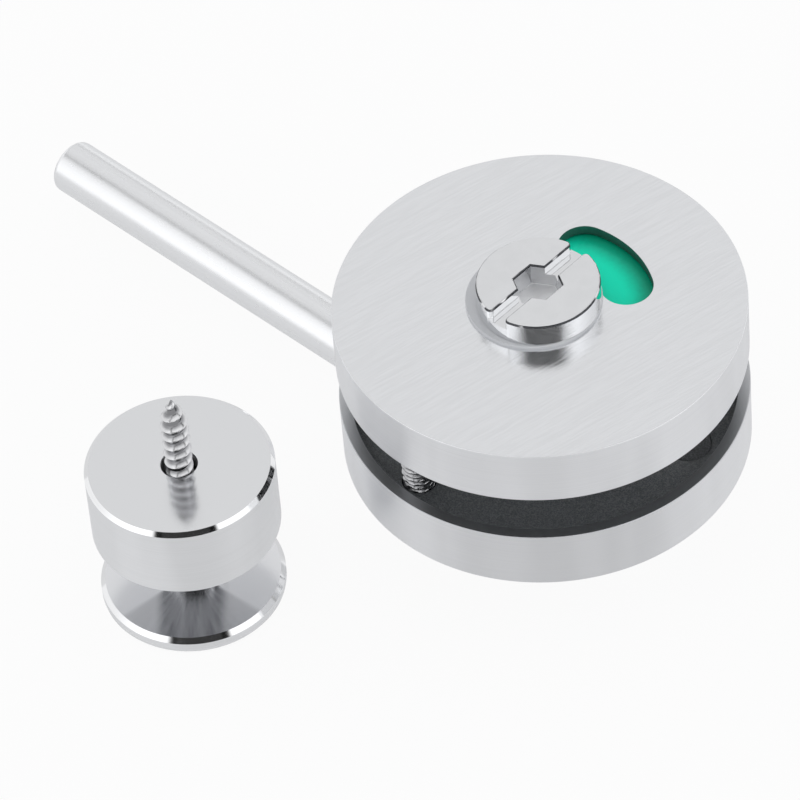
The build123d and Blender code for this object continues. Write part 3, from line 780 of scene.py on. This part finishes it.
head_corners = [
    (stem_radius - 1.2, release_low, 0.0, 0),
    (stem_radius, release_low, 0.2, 0),
    (stem_radius, head_low, 0.0, 0),
    (head_radius, head_low, 0.15, 0),
    (head_radius, release_top, 0.0, 0),
]
slot_floor, socket_base = release_top - SLOT_DEPTH, release_top - SOCKET_DEPTH
cutter_top = release_top + OVERCUT
slot_cutter = prism(slot_outline(head_radius, SLOT_WIDTH, MOUTH_ROUNDING), slot_floor, cutter_top,
                    slot_angle, soften=SLOT_FOOT)
socket_cutter = prism(hexagon(SOCKET_FLATS), socket_base, cutter_top, slot_angle, soften=SOCKET_FOOT)
head_cuts = [(slot_cutter, release_chrome), (socket_cutter, socket_wall_shaded)]
release_mesh, release_used = cut(sweep(head_corners, steps=144), head_cuts, [release_chrome])
release_used += [edge_painted_reflection, socket_floor_lit]
# the socket's floor gets the brighter copy of the chrome, as painted light
for face in release_mesh.faces:
    if face.normal.z > 0.9 and face.calc_center_median().z < (socket_base + 0.1) * MM:
        face.material_index = len(release_used) - 1
break_edges(release_mesh, EDGE_WIDTH, 3, slot_floor + EDGES_ABOVE_FLOOR, len(release_used) - 2)
piece("release_turn_dressed", release_mesh, release_used, TURNING, "release_turn",
      slot="release_chrome", sharp=36)

# %% [markdown]
# ## The collar under the head
# A thin plastic collar keeps the head off the cover. It sits a little off centre in the photograph,
# so it is a ring swept about its own centre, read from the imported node.

# %% Release washer
washer_bore = stem_radius + Vector(washer_centre).length + 0.1
washer_corners = [
    (washer_bore, washer_high, 0.0, 0),
    (washer_radius, washer_high, 0.12, 0),
    (washer_radius, washer_low, 0.0, 0),
    (washer_bore, washer_low, 0.0, 0),
]
piece("release_washer_dressed", sweep(washer_corners, washer_centre, closed=True, steps=160),
      [washer_grey], FIXED, "release_washer", slot="washer_plastic")

# %% [markdown]
# ## The keep
# The keep is a turned bobbin. Its cylinder meets the frame, the rod hooks behind its thin flange,
# and between them is a polished neck. The lathe's facing tool left fine rings on the flat faces,
# the wall is satin, and the neck and the two chamfers are bright.

# %% Keep bobbin
KEEP_HOLE, KEEP_NECK, KEEP_FLANGE = 2.7, 4.9, 13.7
FLANGE_THICKNESS, GROOVE_LENGTH = 3.0, 11.2
flange_top = floor_level + FLANGE_THICKNESS
groove_top = flange_top + GROOVE_LENGTH
COUNTERBORE, COUNTERBORE_DEPTH = 4.6, 4.0
KEEP_CHAMFER, FLANGE_CHAMFER, FLANGE_FOOT = 0.6, 0.7, 1.2
keep_corners = [
    (KEEP_HOLE, keep_top, 0.12, 0),
    (keep_radius - KEEP_CHAMFER, keep_top, 0.0, 2),
    (keep_radius, keep_top - KEEP_CHAMFER, 0.0, 1),
    (keep_radius, groove_top, 0.25, 4),
    (KEEP_NECK, groove_top, 0.0, 2),
    (KEEP_NECK, flange_top, 0.0, 3),
    (KEEP_FLANGE - FLANGE_CHAMFER, flange_top, 0.0, 2),
    (KEEP_FLANGE, flange_top - FLANGE_CHAMFER, 0.0, 1),
    (KEEP_FLANGE, floor_level, FLANGE_FOOT, 0),
    (COUNTERBORE, floor_level, 0.15, 1),
    (COUNTERBORE, floor_level + COUNTERBORE_DEPTH, 0.0, 1),
    (KEEP_HOLE, floor_level + COUNTERBORE_DEPTH, 0.0, 1),
]
keep_finishes = [keep_face, keep_wall, keep_mirror, keep_flange, keep_shade]
piece("keep_bobbin_dressed", sweep(keep_corners, keep_centre, closed=True), keep_finishes, FIXED,
      "keep_bobbin", slot="keep_aluminium")

# %% [markdown]
# ## Threads by Geometry Nodes
# A thread follows a rule: its ridge climbs one pitch for each turn. The tree below moves each point
# of a fine cylinder grid in or out by that rule. It makes the machine thread of the clamp screws and
# the sharp, open thread of the keep's wood screw, from named sizes.

# %% The thread tree
def thread_tree():
    """Geometry Nodes tree that turns a cylinder grid into a thread."""
    tree = bpy.data.node_groups.new("threaded_shank", "GeometryNodeTree")
    tree.interface.new_socket(name="Geometry", in_out="OUTPUT", socket_type="NodeSocketGeometry")
    kinds = {"NodeSocketFloat": {"Crest Radius": 2.5, "Root Radius": 2.0, "Pitch": 0.8, "Length": 10.0,
                                 "Crest Width": 0.5, "Point Length": 0.0, "Point Radius": 0.1},
             "NodeSocketInt": {"Around": 64, "Rows": 200}}
    for kind, sizes in kinds.items():
        for name, value in sizes.items():
            tree.interface.new_socket(name=name, in_out="INPUT", socket_type=kind).default_value = value
    tree.interface.new_socket(name="Material", in_out="INPUT", socket_type="NodeSocketMaterial")
    inputs = tree.nodes.new("NodeGroupInput")
    size = {socket.name: Wire(tree, socket) for socket in inputs.outputs}
    grid = node(tree, "GeometryNodeMeshCylinder", {"fill_type": "TRIANGLE_FAN"},
                {"Vertices": size["Around"], "Side Segments": size["Rows"], "Radius": 1.0, "Depth": 1.0})
    x, y, z = xyz(node(tree, "GeometryNodeInputPosition"))
    climb = (z + 0.5) * size["Length"]
    angle = y.maths("ARCTAN2", x)
    phase = (climb / size["Pitch"] - angle / tau + 4.0).maths("FRACT")
    ridge = (1.0 - (phase - 0.5).maths("ABSOLUTE") * 2.0 / size["Crest Width"]).maths("MAXIMUM", 0.0)
    left = (size["Length"] - climb) / (size["Point Length"] + 0.0001)
    taper = left.maths("MINIMUM", 1.0)
    root = size["Point Radius"] + (size["Root Radius"] - size["Point Radius"]) * taper.power(0.8)
    ridge_height = (size["Crest Radius"] - size["Root Radius"]) * ridge * (taper * 1.6).maths("MINIMUM", 1.0)
    reach = root + ridge_height
    spot = {"X": x * reach * MM, "Y": y * reach * MM, "Z": climb * MM}
    moved = node(tree, "ShaderNodeCombineXYZ", None, spot)
    marked = node(tree, "GeometryNodeStoreNamedAttribute", {"data_type": "FLOAT", "domain": "POINT"},
                  {"Geometry": grid, "Name": "ridge", "Value": ridge})
    shaped = node(tree, "GeometryNodeSetPosition", None, {"Geometry": marked, "Position": moved})
    real = node(tree, "GeometryNodeRealizeInstances", None, {"Geometry": shaped})
    coloured = node(tree, "GeometryNodeSetMaterial", None, {"Geometry": real, "Material": size["Material"]})
    output = tree.nodes.new("NodeGroupOutput")
    tree.links.new(coloured.socket, output.inputs["Geometry"])
    return tree


threads = thread_tree()
print("thread inputs", [item.name for item in threads.interface.items_tree if item.in_out == "INPUT"])

# %% [markdown]
# ## From the tree to a mesh
# A holder object carries the tree as a modifier, and the result is copied to a plain mesh and moved
# to its place. The tree also marks how high each point stands on the ridge, so the finish can paint
# shade in the groove and keep the crest bright.

# %% Thread maker
def thread_mesh(material, place, low, **sizes):
    """A thread standing at a place in plan from a level upwards, as a bmesh."""
    holder = bpy.data.objects.new("thread_holder", bpy.data.meshes.new("thread_holder"))
    step = holder.modifiers.new("thread", "NODES")
    step.node_group = threads
    values = {"Material": material, **{name.replace("_", " "): value for name, value in sizes.items()}}
    for item in threads.interface.items_tree:
        if item.in_out == "INPUT" and item.name in values:
            step[item.identifier] = values[item.name]
    bpy.context.scene.collection.objects.link(holder)
    evaluated = holder.evaluated_get(bpy.context.evaluated_depsgraph_get())
    data = bpy.data.meshes.new_from_object(evaluated)
    data.transform(Matrix.Translation((place[0] * MM, place[1] * MM, low * MM)))
    made = bmesh.new()
    made.from_mesh(data)
    for face in made.faces:
        face.material_index = 1
    bpy.data.objects.remove(holder)
    return made


def thread_with_groove_shade(name, crest, root):
    """Plated thread with painted shade: dark in the groove, bright on the ridge."""
    material, tree, shader = new_material(name)
    ridge = node(tree, "ShaderNodeAttribute", {"attribute_name": "ridge"}, output=2)
    mottle = noise(object_point(tree, 0.0, (1.3, 1.3, 1.3)), 3.0)
    share = (ridge + mottle * 0.3 - 0.15).smooth(0.10, 0.75)
    feed(shader, Base_Color=blend_colours(share, root, crest), Metallic=1.0,
         Roughness=0.10 + mottle * 0.12, Normal=bump(mottle, 0.008, 0.4))
    return material


wood_plate = thread_with_groove_shade("wood_thread_plated", (0.72, 0.72, 0.73), (0.30, 0.30, 0.31))
machine_plate = thread_with_groove_shade("machine_thread_plated", (0.50, 0.50, 0.51), (0.022, 0.023, 0.026))

print("thread finishes", wood_plate.name, machine_plate.name)

# %% [markdown]
# ## The keep's screw
# The keep is held by one wood screw, which comes out of its face. Its thread is sharp and open and
# tapers to a point. The head and the plain shank are hidden in the keep.

# %% Keep screw
KEEP_THREAD, KEEP_ROOT, KEEP_PITCH, KEEP_POINT = 2.1, 1.35, 1.9, 4.6
SCREW_HEAD, SCREW_HEAD_HEIGHT, SCREW_SHANK = 4.2, 2.6, 1.6
THREAD_SUNK = 5.0    # how far the thread starts inside the keep
thread_start = keep_top - THREAD_SUNK
head_end = screw_low + SCREW_HEAD_HEIGHT
shank = sweep([
    (0.9, screw_low, 0.0, 0),
    (SCREW_HEAD, screw_low, 0.5, 0),
    (SCREW_HEAD, head_end, 0.0, 0),
    (SCREW_SHANK, head_end, 0.0, 0),
    (SCREW_SHANK, thread_start + 0.3, 0.0, 0),
], keep_centre, steps=96)
wood_thread = thread_mesh(wood_plate, keep_centre, thread_start, Crest_Radius=KEEP_THREAD,
                          Root_Radius=KEEP_ROOT, Pitch=KEEP_PITCH, Length=screw_tip - thread_start,
                          Crest_Width=0.55, Point_Length=KEEP_POINT, Point_Radius=0.08, Around=72, Rows=420)
piece("keep_screw_dressed", join_meshes(wood_thread, shank), [screw_plate, wood_plate], FIXED, "keep_screw",
      slot="screw_steel", sharp=50)

# %% [markdown]
# ## The clamp screws
# Two M5 screws pull the rosettes together through the door, and the gap shows part of one thread.
# They come up from the inner rosette into the tapped carrier of the outer one. The head is hidden
# inside the shell, so its size is a guess that leaves room for the shell's wall.

# %% Clamp screws
clamp_low, clamp_high = levels("clamp_screws")
CLAMP_HEAD, CLAMP_HEAD_HEIGHT, CLAMP_SHANK = 3.5, 2.75, 2.2
CLAMP_THREAD, CLAMP_ROOT, CLAMP_PITCH = 2.48, 1.98, 0.8
clamp_head_end = clamp_low + CLAMP_HEAD_HEIGHT
clamp_thread_start = carrier_high - 1.0
clamp_corner = box_mm("clamp_screws")[1]
clamp_parts = []
for side in (1, -1):
    place = (side * (clamp_corner[0] - CLAMP_HEAD), side * (clamp_corner[1] - CLAMP_HEAD))
    head = sweep([
        (1.8, clamp_low, 0.0, 0),
        (CLAMP_HEAD, clamp_low, 0.5, 0),
        (CLAMP_HEAD, clamp_head_end, 0.0, 0),
        (CLAMP_SHANK, clamp_head_end, 0.0, 0),
        (CLAMP_SHANK, carrier_high - 0.4, 0.0, 0),
    ], place, steps=96)
    thread = thread_mesh(machine_plate, place, clamp_thread_start, Crest_Radius=CLAMP_THREAD,
                         Root_Radius=CLAMP_ROOT, Pitch=CLAMP_PITCH, Length=clamp_high - carrier_high + 1.0,
                         Crest_Width=0.9, Around=96, Rows=220)
    clamp_parts += [thread, head]
piece("clamp_screws_dressed", join_meshes(*clamp_parts), [screw_plate, machine_plate], FIXED,
      "clamp_screws", slot="screw_steel", sharp=60)

# %% [markdown]
# ## The bolt rod
# The rod is swept upright at the origin, then laid down and turned to its direction in the mesh
# itself, which leaves the object unmoved.

# %% Bolt rod
def lay_along(mesh, angle, level):
    """Turns a piece made about Z to lie along a direction in plan, at a level."""
    turn = Matrix.Rotation(angle, 4, "Z") @ Matrix.Rotation(pi / 2, 4, "Y")
    bmesh.ops.transform(mesh, matrix=Matrix.Translation((0, 0, level * MM)) @ turn, verts=mesh.verts)
    return mesh


ROD_REACH, ROD_SHOULDER, ROD_SPIGOT, ROD_TAIL = 100.5, 10.77, 3.75, -7.5
rod_corners = [
    (ROD_SPIGOT - 0.6, ROD_TAIL, 0.0, 0),
    (ROD_SPIGOT, ROD_TAIL, 0.3, 0),
    (ROD_SPIGOT, ROD_SHOULDER, 0.0, 0),
    (rod_radius, ROD_SHOULDER, 0.2, 0),
    (rod_radius, ROD_REACH, 0.8, 0),
    (rod_radius - 1.6, ROD_REACH, 0.0, 0),
]
rod_mesh = lay_along(sweep(rod_corners, steps=160), rod_angle, rod_level)
piece("bolt_rod_dressed", rod_mesh, [rod_satin], TURNING, "bolt_rod", slot="rod_aluminium")

# %% [markdown]
# ## The turn hub
# The hub is a turned drum with a stem through the inner rosette. It is cross-drilled for the rod,
# spot-faced for the rod's shoulder, cut square for the spindle, and drilled from its end for the
# screw that locks the rod. The finer mesh repeats those steps as cuts.

# %% Turn hub
HUB_SHOULDER, HUB_SOCKET_FLOOR, RING_LOW, RING_HIGH, RING_GROOVE = -10.35, -14.15, -1.9, -0.8, 6.3
HUB_CHAMFER, SQUARE_HALF, SCREW_HOLE = 0.8, 3.05, 2.52
ROD_BORE, ROD_BORE_END, SPOT_FACE, SPOT_FACE_LEVEL = 3.8, -7.8, 5.5, 10.665
hub_corners = [
    (hub_radius - 4.0, floor_level, 0.0, 0),
    (hub_radius - HUB_CHAMFER, floor_level, 0.0, 0),
    (hub_radius, floor_level + HUB_CHAMFER, 0.0, 0),
    (hub_radius, HUB_SHOULDER, 0.15, 0),
    (hub_stem_radius, HUB_SHOULDER, 0.0, 0),
    (hub_stem_radius, RING_LOW, 0.0, 0),
    (RING_GROOVE, RING_LOW, 0.0, 0),
    (RING_GROOVE, RING_HIGH, 0.0, 0),
    (hub_stem_radius, RING_HIGH, 0.0, 0),
    (hub_stem_radius, hub_top, 0.0, 0),
]


def bar(radius, start, end):
    """Round cutter that lies along the rod's direction, between two distances from the axis."""
    return lay_along(sweep([(radius, start, 0.0, 0), (radius, end, 0.0, 0)], steps=128), rod_angle, rod_level)


quadrants = ((1, 1), (-1, 1), (-1, -1), (1, -1))
square = [(x * SQUARE_HALF, y * SQUARE_HALF) for x, y in quadrants]
hole = [polar(SCREW_HOLE, tau * k / 64) for k in range(64)]
hub_cuts = [
    (bar(ROD_BORE, ROD_BORE_END, hub_radius + 2 * OVERCUT), rod_satin),
    (bar(SPOT_FACE, SPOT_FACE_LEVEL, hub_radius + OVERCUT), rod_satin),
    (prism(square, HUB_SOCKET_FLOOR, hub_top + OVERCUT, slot_angle), rod_satin),
    (prism(hole, floor_level - OVERCUT, rod_level), rod_satin),
]
hub_mesh, hub_used = cut(sweep(hub_corners, steps=192), hub_cuts, [hub_satin])
piece("turn_hub_dressed", hub_mesh, hub_used, TURNING, "turn_hub", slot="rod_aluminium")

# %% [markdown]
# ## Castings seen in the gap
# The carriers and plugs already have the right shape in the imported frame, but their triangles are
# loose, so curves would shade in facets. A copy with its triangles merged shades smoothly.

# %% Smooth copies of the seen solids
def smooth_copy(name, material, body, slot):
    """A solid's own mesh with its loose triangles merged, so that its curves shade smoothly."""
    mesh = bmesh.new()
    mesh.from_mesh(frame["nodes"][name].data)
    bmesh.ops.remove_doubles(mesh, verts=mesh.verts, dist=0.003 * MM)
    return piece(name + "_smoothed", mesh, [material], body, name, slot=slot, sharp=28)


seen_in_gap = {"outer_carrier": casting, "inner_carrier": casting, "blanking_plugs": plug_black}
for name, material in seen_in_gap.items():
    smooth_copy(name, material, FIXED, "carrier_black")

# %% [markdown]
# ## The pieces that keep their solid
# The rest are small or hidden: dial, fields, bushes, washers, rings, spindle and headless screws.
# Their solids are fine enough, so each only takes its finish.

# %% Finishes on the solids
finishes = {
    nylon: ["outer_bush", "inner_bush", "turn_washer"],
    spring_steel: ["friction_spring", "release_ring", "turn_ring"],
    screw_plate: ["stop_pin", "cover_grub_screws", "spindle", "rod_grub_screw"],
    dial_white: ["indicator_dial"],
    green_print: ["green_field"],
    red_print: ["red_field"],
}
for material, names in finishes.items():
    for name in names:
        data = frame["nodes"][name].data
        data.materials.clear()
        data.materials.append(material)
print("solids dressed", sum(len(names) for names in finishes.values()))

# %% [markdown]
# ## The floor
# The photograph has hardly any shadow. So the lens sees the floor as nearly white, with a faint
# shadow left, and polished metal sees it a little greyer.

# %% Floor
floor_mesh = bmesh.new()
bmesh.ops.create_grid(floor_mesh, x_segments=1, y_segments=1, size=3.0)
floor_data = bpy.data.meshes.new("floor")
floor_mesh.to_mesh(floor_data)
floor_mesh.free()
floor = bpy.data.objects.new("floor", floor_data)
floor.location.z = floor_level * MM - 0.0001
bpy.context.scene.collection.objects.link(floor)

floor_paint = bpy.data.materials.new("floor_paint")
floor_paint.use_nodes = True
floor_tree = floor_paint.node_tree
floor_tree.nodes.clear()
seen = node(floor_tree, "ShaderNodeLightPath", output=0)
glossy = node(floor_tree, "ShaderNodeLightPath", output=3)
matt = node(floor_tree, "ShaderNodeBsdfDiffuse", None, {"Color": (0.86, 0.86, 0.86, 1.0)})
white = node(floor_tree, "ShaderNodeEmission", None, {"Color": (1.0, 1.0, 1.0, 1.0), "Strength": 1.0})
mirrored = node(floor_tree, "ShaderNodeEmission", None, {"Color": (0.74, 0.745, 0.755, 1.0), "Strength": 1.0})
plain = node(floor_tree, "ShaderNodeMixShader", None, {0: seen * 0.92, 1: matt, 2: white})
ground = node(floor_tree, "ShaderNodeMixShader", None, {0: glossy * 0.75, 1: plain, 2: mirrored})
floor_out = floor_tree.nodes.new("ShaderNodeOutputMaterial")
floor_tree.links.new(ground.socket, floor_out.inputs["Surface"])
floor_data.materials.append(floor_paint)
print("floor at", floor_level, "mm")

# %% [markdown]
# ## Walls of light
# Large soft lights hang all round, brighter behind the camera. One dark place is left where the
# camera stands, and the keep's chamfer shows it black in the middle. The seam between the overhead
# light and the side lights is the thin dark line along the rod.

# %% Studio walls of light
CAMERA_RISE, SEAM_TILT = 47.0, 32.0    # degrees
world = bpy.data.worlds.new("studio")
bpy.context.scene.world = world
world.use_nodes = True
sky = world.node_tree
sky.nodes.clear()
look = node(sky, "ShaderNodeTexCoord", output=0)
east, north, height = xyz(look)
bearing = east.maths("ARCTAN2", north * -1.0).maths("ABSOLUTE") * (180 / pi)
rise = height.maths("ARCSINE") * (180 / pi)
band = 1.0 - (rise - CAMERA_RISE).maths("ABSOLUTE").smooth(8.0, 12.0)
dark_camera = band * (1.0 - bearing.smooth(33.0, 40.0))
front = (north * -1.0).smooth(-0.25, 0.45)
glow = 0.78 + front * 0.34
tilt = (east.maths("ABSOLUTE") / height.maths("MAXIMUM", 0.001)).maths("ARCTANGENT") * (180 / pi)
seam = 1.0 - (tilt - SEAM_TILT).maths("ABSOLUTE").smooth(1.5, 4.5)
side = tilt.smooth(31.0, 36.0)
tone = (glow + side * 0.16) * (1.0 - dark_camera * 0.97) * (1.0 - seam * 0.85)
seen_sky = node(sky, "ShaderNodeLightPath", output=0)
backing = node(sky, "ShaderNodeBackground", None, {"Color": (1.0, 1.0, 1.0, 1.0), "Strength": 1.0})
room = node(sky, "ShaderNodeBackground", None, {"Color": (0.985, 0.99, 1.0, 1.0), "Strength": tone})
both = node(sky, "ShaderNodeMixShader", None, {0: seen_sky, 1: room, 2: backing})
sky_out = sky.nodes.new("ShaderNodeOutputWorld")
sky.links.new(both.socket, sky_out.inputs["Surface"])
print("studio nodes", len(sky.nodes))

# %% [markdown]
# ## The camera
# The place, dip and roll come from fitting the rims of both rosettes in the photograph, seen as
# equal circles. A long lens from 0.87 m matches how little the far rim shrinks.

# %% Camera
camera_place = Vector((-21.172, -594.665, 640.45))
camera_dip, camera_roll = radians(47.158), radians(-5.140)
camera_data = bpy.data.cameras.new("camera")
camera_data.lens = 270
camera_data.sensor_width = 36
camera_data.clip_start = 0.05
camera = bpy.data.objects.new("camera", camera_data)
ahead = Vector((0, cos(camera_dip), -sin(camera_dip)))
level_right = Vector((1, 0, 0))
level_up = Vector((0, sin(camera_dip), cos(camera_dip)))
right = cos(camera_roll) * level_right + sin(camera_roll) * level_up
up = cos(camera_roll) * level_up - sin(camera_roll) * level_right
camera_turn = Matrix((right, up, -ahead)).transposed().to_4x4()
camera.matrix_world = Matrix.Translation(camera_place * MM) @ camera_turn
bpy.context.scene.collection.objects.link(camera)
bpy.context.scene.camera = camera
bpy.context.scene.view_settings.view_transform = "Standard"
print("camera", camera_data.lens, "mm lens")
